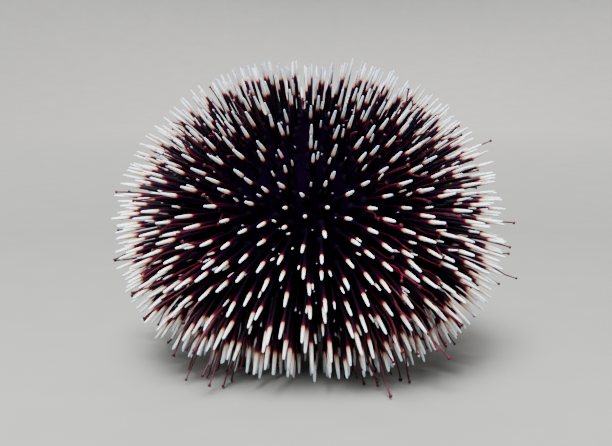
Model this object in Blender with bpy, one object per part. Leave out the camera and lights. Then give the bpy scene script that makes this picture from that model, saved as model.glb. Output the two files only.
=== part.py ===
"""A violet sea urchin, life size, standing on its lower spines.

Lengths are in metres. The apex faces up, the mouth faces down, and the front of the model is -Y.
The shell is parted as on the real animal, into five wide sectors and five narrow ones. Each sector
carries its own spines, and each narrow one its tube feet, whose discs are the animal's suckers.
"""

import math

import bmesh
import bpy
import numpy as np
from mathutils import Vector

MM = 0.001
GAP = 0.3 * MM

# Shell: its widest ring, its rise and drop from that ring, and how square each half is
SHELL_RADIUS = 50 * MM
SHELL_RISE = 38 * MM
SHELL_DROP = 34 * MM
SQUARENESS_ABOVE = 2
SQUARENESS_BELOW = 2.7
FLOOR_CLEARANCE = 17 * MM
WIDEST_HEIGHT = FLOOR_CLEARANCE + SHELL_DROP

# Sectors, measured round the upright axis
SECTOR_COUNT = 5
FIRST_WIDE_MIDDLE = math.radians(-94)
WIDE_HALF_ANGLE = math.radians(22.5)
NARROW_HALF_ANGLE = math.radians(13.5)
WIDE_FACETS = 3
NARROW_FACETS = 2
MERIDIAN_FACETS = 10

# Plugs at the two poles, and the thin hollow left on the axis between them
APEX_RADIUS = 9 * MM
APEX_DEPTH = 8 * MM
MOUTH_RADIUS = 14 * MM
MOUTH_DEPTH = 8 * MM
AXIS_HOLLOW = 2 * MM
POLE_SEGMENTS = 16
SHARP_ANGLE = math.radians(40)

# Spines: length by angle above or below the widest ring, thickness of the three-sided shaft
SPINE_LENGTHS = {-60: 20 * MM, -25: 21.5 * MM, 30: 18.5 * MM, 70: 19.5 * MM, 90: 17.5 * MM}
SPINE_SPACING = 5.2 * MM
ROW_SPACING = 5.1 * MM
SPINE_ROOT_RADIUS = 1.05 * MM
SPINE_TIP_RADIUS = 0.75 * MM
SPINE_SIDES = 3
ROOT_DEPTH = 3 * MM

# Where spines grow: margins kept from a sector's edges, and the bare parting towards the apex
ROW_MARGIN = 2.4 * MM
EDGE_MARGIN = 1.9 * MM
PARTING = 0.8 * MM
PARTING_LEAN = math.radians(3)
PLACE_SPREAD = 0.35 * MM
LENGTH_SPREAD = 0.06
LEAN_SPREAD = math.radians(3)
LEAN_LIMIT = math.radians(6)
SPINE_DROOP = math.radians(10)
WIDE_SEED = 100
NARROW_SEED = 200
CALM_AT_POLES = 0.5
STANDING_HEIGHT = 0.9 * MM

# Short spines round the edge and the middle of the apical disc: count, radius, length
APEX_SPINES = ((10, 6.5 * MM, 16 * MM), (5, 3.2 * MM, 13 * MM))

# Tube feet: angles up the profile where long ones grow, five-sided stalks, round end discs
FOOT_ANGLES = (20, 6, -8, -21, -34, -48)
FOOT_ANGLE_SPREAD = 2
FOOT_BEYOND_SPINES = 5 * MM
FOOT_BEYOND_SPREAD = 2.5 * MM
FOOT_SAG = 3 * MM
FOOT_SWAY = 1.2 * MM
LEAST_SWAY = 0.4
SWAY_TURN = 4
FOOT_LIFT = 1.6 * MM
FOOT_RADIUS = 0.34 * MM
FOOT_SIDES = 5
FOOT_STEPS = 4
DISC_RADIUS = 0.8 * MM
DISC_THICKNESS = 0.5 * MM
MOUTH_FOOT_PAIRS = 5
MOUTH_FOOT_RADIUS = 10.5 * MM
MOUTH_FOOT_SPREAD = math.radians(9)
MOUTH_FOOT_LENGTH = 6 * MM
MOUTH_FOOT_LEAN = math.radians(11)

# Teeth: five chisel-shaped teeth that close to a point below the lips
TEETH_RADIUS = 4.4 * MM
TEETH_SHOULDER = 3.9 * MM
TEETH_POINT = 0.9 * MM
TEETH_INNER = 0.6 * MM
TEETH_BELOW_LIPS = 2.6 * MM
TEETH_ROOT_DEPTH = 5 * MM
LIP_RADIUS = 7 * MM
LIP_DROP = 1.6 * MM


def shell_profile(angle):
    """Radius and height of the shell at an angle seen from the middle of its widest ring.

    Each half is a superellipse, flatter and squarer below the widest ring than above it.
    """
    angle = np.asarray(angle, dtype=float)
    rise = np.where(angle >= 0, SHELL_RISE, SHELL_DROP)
    power = np.where(angle >= 0, SQUARENESS_ABOVE, SQUARENESS_BELOW)
    across = np.abs(np.cos(angle)) / SHELL_RADIUS
    up = np.abs(np.sin(angle)) / rise
    reach = (across**power + up**power) ** (-1 / power)
    return reach * np.cos(angle), WIDEST_HEIGHT + reach * np.sin(angle)


def shell_normal(angle):
    """Outward and upward parts of the unit normal of the shell's profile."""
    radius, height = shell_profile(angle)
    rise = SHELL_RISE if angle >= 0 else SHELL_DROP
    power = SQUARENESS_ABOVE if angle >= 0 else SQUARENESS_BELOW
    outward = (radius / SHELL_RADIUS) ** (power - 1) / SHELL_RADIUS
    upward = (abs(height - WIDEST_HEIGHT) / rise) ** (power - 1) / rise
    upward = math.copysign(upward, angle)
    size = math.hypot(outward, upward)
    return outward / size, upward / size


MERIDIAN_ANGLES = np.radians(np.linspace(-89.9, 89.9, 900))
MERIDIAN_RADII, MERIDIAN_HEIGHTS = shell_profile(MERIDIAN_ANGLES)
MERIDIAN_STEPS = np.hypot(np.diff(MERIDIAN_RADII), np.diff(MERIDIAN_HEIGHTS))
MERIDIAN_ARCS = np.concatenate(([0], np.cumsum(MERIDIAN_STEPS)))


def angle_at_arc(arc):
    """Angle of the profile at a distance run up the shell from its lowest point."""
    return np.interp(arc, MERIDIAN_ARCS, MERIDIAN_ANGLES)


def arc_at_radius(radius, above):
    """Distance run up the shell to where it has a radius, above or below the widest ring."""
    half = (MERIDIAN_ANGLES >= 0) == above
    radii, arcs = MERIDIAN_RADII[half], MERIDIAN_ARCS[half]
    order = np.argsort(radii)
    return float(np.interp(radius, radii[order], arcs[order]))


MOUTH_ARC = arc_at_radius(MOUTH_RADIUS + GAP, above=False)
APEX_ARC = arc_at_radius(APEX_RADIUS + GAP, above=True)
MOUTH_EDGE_HEIGHT = float(shell_profile(angle_at_arc(MOUTH_ARC))[1])
APEX_EDGE_HEIGHT = float(shell_profile(angle_at_arc(APEX_ARC))[1])
MOUTH_CEILING = MOUTH_EDGE_HEIGHT + MOUTH_DEPTH
APEX_FLOOR = APEX_EDGE_HEIGHT - APEX_DEPTH


def spine_length(angle):
    """Length of a spine rooted at an angle above the widest ring, shortest at the apex."""
    stops = list(SPINE_LENGTHS)
    return float(np.interp(math.degrees(angle), stops, [SPINE_LENGTHS[stop] for stop in stops]))


def material(name, colour, roughness):
    """A Principled material with one colour."""
    made = bpy.data.materials.new(name)
    made.use_nodes = True
    shader = made.node_tree.nodes["Principled BSDF"]
    shader.inputs["Base Color"].default_value = (*colour, 1)
    shader.inputs["Roughness"].default_value = roughness
    return made


def mesh_object(name, points, faces, finish):
    """A named object from points and faces, with its faces turned outwards."""
    mesh = bpy.data.meshes.new(name)
    mesh.from_pydata([tuple(point) for point in points], [], faces)
    work = bmesh.new()
    work.from_mesh(mesh)
    bmesh.ops.recalc_face_normals(work, faces=work.faces)
    work.to_mesh(mesh)
    work.free()
    mesh.materials.append(finish)
    made = bpy.data.objects.new(name, mesh)
    bpy.context.scene.collection.objects.link(made)
    return made


def sector_solid(name, outline, middle, half_angle, facets, finish):
    """Turn an outline of (radius, height) through a sector, its two flat sides half a gap inside.

    The first and last chord of each ring are shortened by the half gap, so every facet stays flat.
    """
    points = []
    chord_slope = half_angle / facets
    for radius, height in outline:
        trim = GAP / 2 / math.cos(chord_slope)
        for step in range(facets + 1):
            turn = middle + (2 * step / facets - 1) * half_angle
            point = Vector((math.cos(turn), math.sin(turn), 0)) * radius
            if step in (0, facets):
                side = 1 if step == 0 else -1
                along = turn + side * (math.pi / 2 + chord_slope)
                point += Vector((math.cos(along), math.sin(along), 0)) * trim
            points.append((point.x, point.y, height))
    count = len(outline)
    width = facets + 1
    faces = [[row * width for row in range(count)]]
    faces.append([row * width + facets for row in range(count)])
    for row in range(count):
        below, above = row * width, (row + 1) % count * width
        for step in range(facets):
            faces.append([below + step, below + step + 1, above + step + 1, above + step])
    return mesh_object(name, points, faces, finish)


def turned_solid(name, outline, finish):
    """Turn an outline of (radius, height) right round; it starts and ends on the axis."""
    points = [(0, 0, outline[0][1])]
    for radius, height in outline[1:-1]:
        for step in range(POLE_SEGMENTS):
            turn = math.tau * step / POLE_SEGMENTS
            points.append((radius * math.cos(turn), radius * math.sin(turn), height))
    points.append((0, 0, outline[-1][1]))
    last = len(points) - 1
    faces = []
    for step in range(POLE_SEGMENTS):
        beside = (step + 1) % POLE_SEGMENTS
        faces.append([0, 1 + step, 1 + beside])
        for row in range(len(outline) - 3):
            below = 1 + row * POLE_SEGMENTS
            above = below + POLE_SEGMENTS
            faces.append([below + step, below + beside, above + beside, above + step])
        faces.append([last - POLE_SEGMENTS + step, last - POLE_SEGMENTS + beside, last])
    return mesh_object(name, points, faces, finish)


def swept_solid(name, centres, radii, across, roll, sides, finish):
    """A closed tube with a ring of corners round each centre, square to the path."""
    points = []
    for index, (centre, radius) in enumerate(zip(centres, radii)):
        before, after = centres[max(index - 1, 0)], centres[min(index + 1, len(centres) - 1)]
        along = (after - before).normalized()
        side = (across - along * across.dot(along)).normalized()
        other = along.cross(side)
        for step in range(sides):
            turn = roll + math.tau * step / sides
            points.append(centre + (side * math.cos(turn) + other * math.sin(turn)) * radius)
    faces = [list(range(sides)), list(range(len(points) - sides, len(points)))]
    for row in range(len(centres) - 1):
        for step in range(sides):
            beside = (step + 1) % sides
            low, high = row * sides, (row + 1) * sides
            faces.append([low + step, low + beside, high + beside, high + step])
    return mesh_object(name, points, faces, finish)


def surface_frame(angle, turn):
    """A point of the shell, its outward normal, the way up the meridian and the way round."""
    radius, height = (float(value) for value in shell_profile(angle))
    outward, upward = shell_normal(angle)
    out = Vector((math.cos(turn), math.sin(turn), 0))
    up = Vector((0, 0, 1))
    place = out * radius + up * height
    return place, out * outward + up * upward, up * outward - out * upward, up.cross(out)


def spine(place, direction, length, roll, finish):
    """A tapered spine with its root sunk in the shell, cut level where it stands on the floor."""
    root, tip = place - direction * ROOT_DEPTH, place + direction * length
    made = swept_solid(
        "spine", [root, tip], [SPINE_ROOT_RADIUS, SPINE_TIP_RADIUS],
        direction.orthogonal(), roll, SPINE_SIDES, finish,
    )
    if tip.z < STANDING_HEIGHT:
        corners = made.data.vertices
        for step in range(SPINE_SIDES):
            low, high = corners[step].co, corners[SPINE_SIDES + step].co
            on_floor = low.lerp(high, low.z / (low.z - high.z))
            corners[SPINE_SIDES + step].co = (on_floor.x, on_floor.y, 0)
    return made


def leaning(normal, upward, around, lean_up, lean_round):
    """A direction tipped from the normal, up the meridian and round the axis."""
    return (normal + upward * math.tan(lean_up) + around * math.tan(lean_round)).normalized()


def even_roots(half_angle, wide):
    """Even places of a sector's roots: distance up the shell, and share of the half width.

    Rows are evenly spaced up the shell, and every other column stands half a row higher.
    """
    first, last = MOUTH_ARC + ROW_MARGIN, APEX_ARC - ROW_MARGIN
    rows = round((last - first) / ROW_SPACING)
    row_step = (last - first) / rows
    arcs, shares = [], []
    for row in range(rows + 1):
        arc = first + row * row_step
        width = float(shell_profile(angle_at_arc(arc))[0]) * half_angle
        columns = max(1, round(2 * width / SPINE_SPACING))
        if wide:
            columns = 2 * max(1, round(width / SPINE_SPACING))
        column = np.arange(columns)
        arcs.append(arc + column % 2 / 2 * row_step)
        shares.append((2 * column + 1) / columns - 1)
    arcs, shares = np.concatenate(arcs), np.concatenate(shares)
    kept = arcs <= last
    return arcs[kept], shares[kept]


def spine_roots(half_angle, wide, chance):
    """Angle up the profile, and turn from the sector's middle, of each root, moved by a small step."""
    arcs, shares = even_roots(half_angle, wide)
    steps = chance.uniform(-PLACE_SPREAD, PLACE_SPREAD, (2, len(arcs)))
    angles = angle_at_arc(arcs + steps[0])
    radii = shell_profile(angles)[0]
    across = shares * radii * half_angle + steps[1]
    if wide:
        across += np.sign(shares) * PARTING * np.maximum(np.sin(angles), 0)
    limits = radii * half_angle - EDGE_MARGIN
    return angles, np.clip(across, -limits, limits) / radii


def spine_leans(angles, turns, wide, chance):
    """How far each spine leans up the meridian and round the axis, calmer near the poles.

    All droop towards the mouth, most at the widest ring, and in a wide sector they also lean
    away from the bare parting in its middle.
    """
    leans = np.clip(chance.normal(0, LEAN_SPREAD, (2, len(angles))), -LEAN_LIMIT, LEAN_LIMIT)
    leans *= CALM_AT_POLES + (1 - CALM_AT_POLES) * np.cos(angles)
    leans[0] -= SPINE_DROOP * np.cos(angles)
    if wide:
        leans[1] += np.sign(turns) * PARTING_LEAN * np.maximum(np.sin(angles), 0)
    return leans


def sector_spines(middle, half_angle, wide, chance, finish):
    """Every spine of a sector, each a little off the shell's normal and of its own length."""
    angles, turns = spine_roots(half_angle, wide, chance)
    leans = spine_leans(angles, turns, wide, chance)
    changes = chance.uniform(-LENGTH_SPREAD, LENGTH_SPREAD, len(angles))
    rolls = chance.uniform(0, math.tau, len(angles))
    spines = []
    for index, angle in enumerate(angles):
        place, normal, upward, around = surface_frame(angle, middle + turns[index])
        direction = leaning(normal, upward, around, leans[0][index], leans[1][index])
        length = spine_length(angle) * (1 + changes[index])
        spines.append(spine(place, direction, length, rolls[index], finish))
    return spines


def tube_foot(place, direction, around, length, sag, sway, steps, finish):
    """A thin stalk that sways and sags away from its root, ending in a round disc."""
    centres = [place - direction * ROOT_DEPTH]
    for step in range(1, steps + 1):
        share = step / steps
        drop = Vector((0, 0, -sag * share**2))
        swing = around * sway * math.sin(SWAY_TURN * share)
        centres.append(place + direction * length * share + drop + swing)
    end = (centres[-1] - centres[-2]).normalized()
    centres.append(centres[-1] + end * DISC_THICKNESS / 2)
    centres.append(centres[-1] + end * DISC_THICKNESS)
    radii = [FOOT_RADIUS] * (steps + 1) + [DISC_RADIUS, DISC_RADIUS]
    return swept_solid("tube_foot", centres, radii, around, 0, FOOT_SIDES, finish)


def sector_feet(middle, chance, finish):
    """The long tube feet of a narrow sector, which reach out between its spines and past them."""
    count = len(FOOT_ANGLES)
    angles = np.radians(FOOT_ANGLES + chance.uniform(-FOOT_ANGLE_SPREAD, FOOT_ANGLE_SPREAD, count))
    beyond = FOOT_BEYOND_SPINES + chance.uniform(-FOOT_BEYOND_SPREAD, FOOT_BEYOND_SPREAD, count)
    sways = FOOT_SWAY * chance.uniform(LEAST_SWAY, 1, count)
    feet = []
    for number, angle in enumerate(angles):
        side = 1 if number % 2 else -1
        turn = middle + side * NARROW_HALF_ANGLE / 2
        place, normal, upward, around = surface_frame(angle, turn)
        length = spine_length(angle) + beyond[number]
        if normal.z < 0:
            length = min(length, (place.z - FOOT_LIFT) / -normal.z)
        sag = min(FOOT_SAG, place.z + normal.z * length - FOOT_LIFT)
        sway = side * sways[number]
        feet.append(tube_foot(place, normal, around, length, sag, sway, FOOT_STEPS, finish))
    return feet


def fuse(node, pieces):
    """Join closed pieces to a node in one union, and keep its largest closed surface."""
    group = bpy.data.collections.new(f"{node.name}_pieces")
    bpy.context.scene.collection.children.link(group)
    for piece in pieces:
        bpy.context.scene.collection.objects.unlink(piece)
        group.objects.link(piece)
    union = node.modifiers.new("pieces", "BOOLEAN")
    union.operation = "UNION"
    union.operand_type = "COLLECTION"
    union.collection = group
    union.solver = "MANIFOLD"
    seen = node.evaluated_get(bpy.context.evaluated_depsgraph_get())
    joined = bpy.data.meshes.new_from_object(seen)
    node.modifiers.clear()
    node.data = joined
    for piece in pieces:
        bpy.data.objects.remove(piece)
    bpy.data.collections.remove(group)
    keep_largest(joined)
    joined.shade_smooth()
    joined.set_sharp_from_angle(angle=SHARP_ANGLE)


def keep_largest(mesh):
    """Drop every closed surface of a mesh but the one with the most faces."""
    work = bmesh.new()
    work.from_mesh(mesh)
    left = set(work.faces)
    surfaces = []
    while left:
        surface, edge = set(), [left.pop()]
        while edge:
            face = edge.pop()
            surface.add(face)
            beside = {other for side in face.edges for other in side.link_faces} & left
            left -= beside
            edge.extend(beside)
        surfaces.append(surface)
    surfaces.sort(key=len, reverse=True)
    loose = [face for surface in surfaces[1:] for face in surface]
    bmesh.ops.delete(work, geom=loose, context="FACES")
    work.to_mesh(mesh)
    work.free()


def shell_sector(name, middle, half_angle, facets, finish):
    """One solid sector of the shell, from its outer face to the hollow on the axis."""
    outline = []
    for arc in np.linspace(MOUTH_ARC, APEX_ARC, MERIDIAN_FACETS + 1):
        radius, height = shell_profile(angle_at_arc(arc))
        outline.append((float(radius), float(height)))
    clear = 1 / math.cos(half_angle / facets)
    outline[0] = ((MOUTH_RADIUS + GAP) * clear, outline[0][1])
    outline[-1] = ((APEX_RADIUS + GAP) * clear, outline[-1][1])
    outline.append((outline[-1][0], APEX_FLOOR - GAP))
    outline.append((AXIS_HOLLOW, APEX_FLOOR - GAP))
    outline.append((AXIS_HOLLOW, MOUTH_CEILING + GAP))
    outline.append((outline[0][0], MOUTH_CEILING + GAP))
    return sector_solid(name, outline, middle, half_angle, facets, finish)


def wide_sector(number, middle, finish):
    """An interambulacrum, the wide sector between two rows of tube feet, with its spines."""
    name = f"interambulacrum_{number}"
    node = shell_sector(name, middle, WIDE_HALF_ANGLE, WIDE_FACETS, finish)
    chance = np.random.default_rng(WIDE_SEED + number)
    fuse(node, sector_spines(middle, WIDE_HALF_ANGLE, True, chance, finish))


def narrow_sector(number, middle, finish):
    """An ambulacrum, the narrow sector that bears the tube feet, with its spines and feet."""
    name = f"ambulacrum_{number}"
    node = shell_sector(name, middle, NARROW_HALF_ANGLE, NARROW_FACETS, finish)
    chance = np.random.default_rng(NARROW_SEED + number)
    spines = sector_spines(middle, NARROW_HALF_ANGLE, False, chance, finish)
    fuse(node, spines + sector_feet(middle, chance, finish))


def apical_disc(finish):
    """The round plate at the apex, domed like the shell round it."""
    outline = [(0, APEX_FLOOR), (APEX_RADIUS, APEX_FLOOR)]
    for share in (1, 0.6, 0):
        arc = arc_at_radius(APEX_RADIUS * share, above=True)
        height = float(shell_profile(angle_at_arc(arc))[1])
        outline.append((APEX_RADIUS * share, height))
    disc = turned_solid("apical_disc", outline, finish)
    spines = []
    for count, radius, length in APEX_SPINES:
        angle = angle_at_arc(arc_at_radius(radius, above=True))
        for number in range(count):
            turn = math.tau * (number + 0.5) / count
            place, normal, _, _ = surface_frame(angle, turn)
            spines.append(spine(place, normal, length, turn, finish))
    fuse(disc, spines)


def mouth_membrane(finish):
    """The soft disc round the mouth, swollen to lips, with the well that holds the teeth."""
    edge, lips = MOUTH_EDGE_HEIGHT, MOUTH_EDGE_HEIGHT - LIP_DROP
    well = (TEETH_RADIUS + GAP) / math.cos(math.pi / POLE_SEGMENTS)
    outline = [
        (0, MOUTH_CEILING),
        (MOUTH_RADIUS, MOUTH_CEILING),
        (MOUTH_RADIUS, edge),
        (LIP_RADIUS, lips),
        (well, (lips + edge) / 2),
        (well, edge + TEETH_ROOT_DEPTH + GAP),
        (0, edge + TEETH_ROOT_DEPTH + GAP),
    ]
    membrane = turned_solid("peristome", outline, finish)
    share = (MOUTH_RADIUS - MOUTH_FOOT_RADIUS) / (MOUTH_RADIUS - LIP_RADIUS)
    height = edge + share * (lips - edge)
    feet = []
    for pair in range(MOUTH_FOOT_PAIRS):
        middle = FIRST_WIDE_MIDDLE + (pair + 0.5) * math.tau / MOUTH_FOOT_PAIRS
        for turn in (middle - MOUTH_FOOT_SPREAD, middle + MOUTH_FOOT_SPREAD):
            out = Vector((math.cos(turn), math.sin(turn), 0))
            around = Vector((-math.sin(turn), math.cos(turn), 0))
            place = out * MOUTH_FOOT_RADIUS + Vector((0, 0, height))
            down = out * math.sin(MOUTH_FOOT_LEAN) - Vector((0, 0, math.cos(MOUTH_FOOT_LEAN)))
            feet.append(tube_foot(place, down, around, MOUTH_FOOT_LENGTH, 0, 0, 1, finish))
    fuse(membrane, feet)


def tooth(number, middle, finish):
    """One of five teeth, a wedge that narrows to its chisel point."""
    top = MOUTH_EDGE_HEIGHT + TEETH_ROOT_DEPTH
    bottom = MOUTH_EDGE_HEIGHT - LIP_DROP - TEETH_BELOW_LIPS
    outline = [
        (TEETH_INNER, top),
        (TEETH_RADIUS, top),
        (TEETH_SHOULDER, MOUTH_EDGE_HEIGHT),
        (TEETH_POINT, bottom),
        (TEETH_INNER, bottom),
    ]
    return sector_solid(f"tooth_{number}", outline, middle, math.pi / SECTOR_COUNT, 2, finish)


def centre_on_floor():
    """Slide the whole animal so that its footprint is centred on the origin."""
    nodes = [item for item in bpy.data.objects if item.type == "MESH"]
    corners = np.array([point.co for node in nodes for point in node.data.vertices])
    middle = (corners.min(axis=0) + corners.max(axis=0)) / 2
    for node in nodes:
        for point in node.data.vertices:
            point.co.x -= middle[0]
            point.co.y -= middle[1]


def build():
    """Make every node of the animal."""
    for old in list(bpy.data.objects):
        bpy.data.objects.remove(old)
    violet = material("violet_spines", (0.060, 0.012, 0.040), 0.45)
    crimson = material("crimson_spines", (0.090, 0.012, 0.030), 0.45)
    plate = material("apical_plate", (0.045, 0.010, 0.032), 0.5)
    membrane = material("mouth_membrane", (0.120, 0.030, 0.050), 0.6)
    ivory = material("tooth_ivory", (0.720, 0.660, 0.540), 0.35)

    fifth = math.tau / SECTOR_COUNT
    for number in range(SECTOR_COUNT):
        middle = FIRST_WIDE_MIDDLE + number * fifth
        wide_sector(number + 1, middle, violet)
        narrow_sector(number + 1, middle + fifth / 2, crimson)
        tooth(number + 1, middle, ivory)
    apical_disc(plate)
    mouth_membrane(membrane)
    centre_on_floor()


build()
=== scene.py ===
# %% [markdown]
# A violet sea urchin, life size
#
# This lesson dresses a plain solid urchin as the live animal looks: a dark violet shell hidden under
# more than a thousand blunt spines, each nearly black below and white at the tip, with short spines,
# pincer organs and wine-red tube feet between them. Every piece is a surface worked out with numpy and
# put into a mesh in one go, so the whole coat takes seconds.

import math

import bpy
import numpy as np
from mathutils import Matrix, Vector


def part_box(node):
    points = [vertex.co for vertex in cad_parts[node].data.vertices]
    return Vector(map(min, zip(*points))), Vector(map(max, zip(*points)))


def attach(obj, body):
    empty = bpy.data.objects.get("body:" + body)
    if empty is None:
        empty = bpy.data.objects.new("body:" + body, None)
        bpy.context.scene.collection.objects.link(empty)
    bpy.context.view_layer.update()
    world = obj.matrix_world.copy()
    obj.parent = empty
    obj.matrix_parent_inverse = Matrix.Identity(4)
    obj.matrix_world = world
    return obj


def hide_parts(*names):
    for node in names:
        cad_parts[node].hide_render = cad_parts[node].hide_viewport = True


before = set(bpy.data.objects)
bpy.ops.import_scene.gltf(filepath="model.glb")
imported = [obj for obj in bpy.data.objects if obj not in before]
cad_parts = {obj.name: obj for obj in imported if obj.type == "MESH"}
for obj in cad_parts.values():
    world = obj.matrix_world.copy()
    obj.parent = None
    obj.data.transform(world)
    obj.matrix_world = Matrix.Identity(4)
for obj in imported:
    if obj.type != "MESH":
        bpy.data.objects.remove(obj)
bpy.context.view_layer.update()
print("nodes in the frame:", len(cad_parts))

# %% Sizes of the animal, in metres
MM = 0.001
GAP = 0.3 * MM
SHELL_RADIUS = 50 * MM
SHELL_RISE = 38 * MM
SHELL_DROP = 34 * MM
SQUARENESS_ABOVE = 2
SQUARENESS_BELOW = 2.7
WIDEST_HEIGHT = 51 * MM
APEX_RADIUS = 9 * MM
MOUTH_RADIUS = 14 * MM
SECTOR_COUNT = 5
FIFTH = math.tau / SECTOR_COUNT
FIRST_WIDE_MIDDLE = math.radians(-94)
WIDE_HALF_ANGLE = math.radians(22.5)
NARROW_HALF_ANGLE = math.radians(13.5)

mouth_low, mouth_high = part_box("peristome")
AXIS = np.array([(mouth_low[0] + mouth_high[0]) / 2, (mouth_low[1] + mouth_high[1]) / 2, 0])
print("upright axis stands at", np.round(AXIS / MM, 2), "mm")

# %% [markdown]
# The camera
#
# The picture was taken almost level with the animal, from about 40 cm. A camera can be turned by hand
# until it looks right, but then nobody can read why it stands there. Here it stands back from a point
# of the animal by a distance and an elevation. It is placed first, because the detail of every other
# piece depends on how large it shows. It aims a little below the middle of the shell's widest ring,
# and a little to its left, so that the animal lies in the frame as in the picture.

# %% Camera at the photograph's viewing angle
VIEW_DISTANCE = 403 * MM
VIEW_ELEVATION = math.radians(8.5)
LENS = 65.5
AIM_ASIDE = 1.2 * MM
AIM_BELOW = 2.2 * MM
AIM = Vector((AXIS[0] - AIM_ASIDE, AXIS[1], WIDEST_HEIGHT - AIM_BELOW))


def place_camera():
    """Stand the camera back from its aim along -Y, raised by the viewing angle."""
    data = bpy.data.cameras.new("view")
    data.lens = LENS
    data.clip_start = 10 * MM
    camera = bpy.data.objects.new("view", data)
    back = Vector((0, -math.cos(VIEW_ELEVATION), math.sin(VIEW_ELEVATION)))
    camera.location = AIM + back * VIEW_DISTANCE
    camera.rotation_euler = (-back).to_track_quat("-Z", "Y").to_euler()
    bpy.context.scene.collection.objects.link(camera)
    bpy.context.scene.camera = camera


place_camera()
print("camera stands", VIEW_DISTANCE, "m from its aim")

# %% [markdown]
# Floor and light
#
# The animal stands on a plain pale floor that sweeps up all round, so that no edge shows. Its shade
# is darker near the animal, where the white tips have to stand out. Sunlight reaches the animal
# from above and in front, so the key light is high. A wide soft panel on each side opens the shadows,
# one behind lights the rim, and one brightens the backdrop. An even sky alone would be simpler, but
# a dark coat needs light with a direction to show its depth.


# %% Helpers for objects and materials
def add_object(name, data):
    """A new object at the origin, linked to the scene."""
    made = bpy.data.objects.new(name, data)
    bpy.context.scene.collection.objects.link(made)
    return made


class Finish:
    """A node material with one Principled shader, and short ways to add nodes and links."""

    def __init__(self, name, roughness, specular=0.5):
        self.material = bpy.data.materials.new(name)
        self.material.use_nodes = True
        self.nodes = self.material.node_tree.nodes
        self.links = self.material.node_tree.links
        self.shader = self.nodes["Principled BSDF"]
        self.shader.inputs["Roughness"].default_value = roughness
        self.shader.inputs["Specular IOR Level"].default_value = specular

    def node(self, kind, **inputs):
        """Add a node and set its inputs by name."""
        made = self.nodes.new(kind)
        for name, value in inputs.items():
            made.inputs[name.replace("_", " ")].default_value = value
        return made

    def link(self, source, target):
        """Join an output socket to an input socket."""
        self.links.new(source, target)

    def ramp(self, stops, source):
        """Colours along a value: stops are (place, colour) pairs."""
        made = self.nodes.new("ShaderNodeValToRGB")
        elements = made.color_ramp.elements
        while len(elements) < len(stops):
            elements.new(0.5)
        for element, (place, colour) in zip(elements, stops):
            element.position = place
            element.color = (*colour, 1)
        self.link(source, made.inputs["Fac"])
        return made.outputs["Color"]

    def math(self, operation, *values):
        """A Math node: each value is a socket or a number."""
        made = self.nodes.new("ShaderNodeMath")
        made.operation = operation
        for socket, value in zip(made.inputs, values):
            if isinstance(value, (int, float)):
                socket.default_value = value
            else:
                self.link(value, socket)
        return made.outputs["Value"]

    def mix(self, factor, first, second, blend="MIX"):
        """A colour Mix node: factor is a socket or a number, each colour a socket or a tuple."""
        made = self.nodes.new("ShaderNodeMix")
        made.data_type = "RGBA"
        made.blend_type = blend
        for index, value in ((0, factor), (6, first), (7, second)):
            if isinstance(value, (int, float)):
                made.inputs[index].default_value = value
            elif isinstance(value, tuple):
                made.inputs[index].default_value = (*value, 1)
            else:
                self.link(value, made.inputs[index])
        return made.outputs[2]

    def attribute(self, name):
        """A number stored on the mesh, as an output socket."""
        made = self.node("ShaderNodeAttribute")
        made.attribute_name = name
        return made.outputs["Fac"]

    def shaft(self):
        """The piece's own Shaft map: the share round a tube, and a value that runs along it."""
        place = self.node("ShaderNodeUVMap")
        place.uv_map = "Shaft"
        parts = self.node("ShaderNodeSeparateXYZ")
        self.link(place.outputs["UV"], parts.inputs["Vector"])
        return parts.outputs["X"], parts.outputs["Y"]

    def noise(self, scale, detail=3.0, source=None):
        """Noise over the object's own coordinates, or over a given vector."""
        made = self.node("ShaderNodeTexNoise", Scale=scale, Detail=detail)
        if source is None:
            source = self.node("ShaderNodeTexCoord").outputs["Object"]
        self.link(source, made.inputs["Vector"])
        return made.outputs["Fac"]

    def bump(self, height, strength, distance):
        """Send a height to the shader as bump."""
        made = self.node("ShaderNodeBump", Strength=strength, Distance=distance)
        self.link(height, made.inputs["Height"])
        self.link(made.outputs["Normal"], self.shader.inputs["Normal"])

    def colour(self, source):
        """Send a colour to the shader."""
        self.link(source, self.shader.inputs["Base Color"])


# %% Floor and lights
FLOOR_RADIUS = 1.3
SWEEP_RADIUS = 0.9
SWEEP_TOP = 2.4
FLOOR_TURNS = 96
SWEEP_STEPS = 24
CENTRE_RADIUS = 0.001
FLOOR_SHADES = [(0.25, (0.135, 0.130, 0.122)), (1.0, (0.34, 0.33, 0.315))]
FLOOR_SPECKLE = [(0.3, (0.94, 0.94, 0.94)), (0.7, (1.0, 1.0, 1.0))]
SPECKLE_SCALE = 40.0


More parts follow.
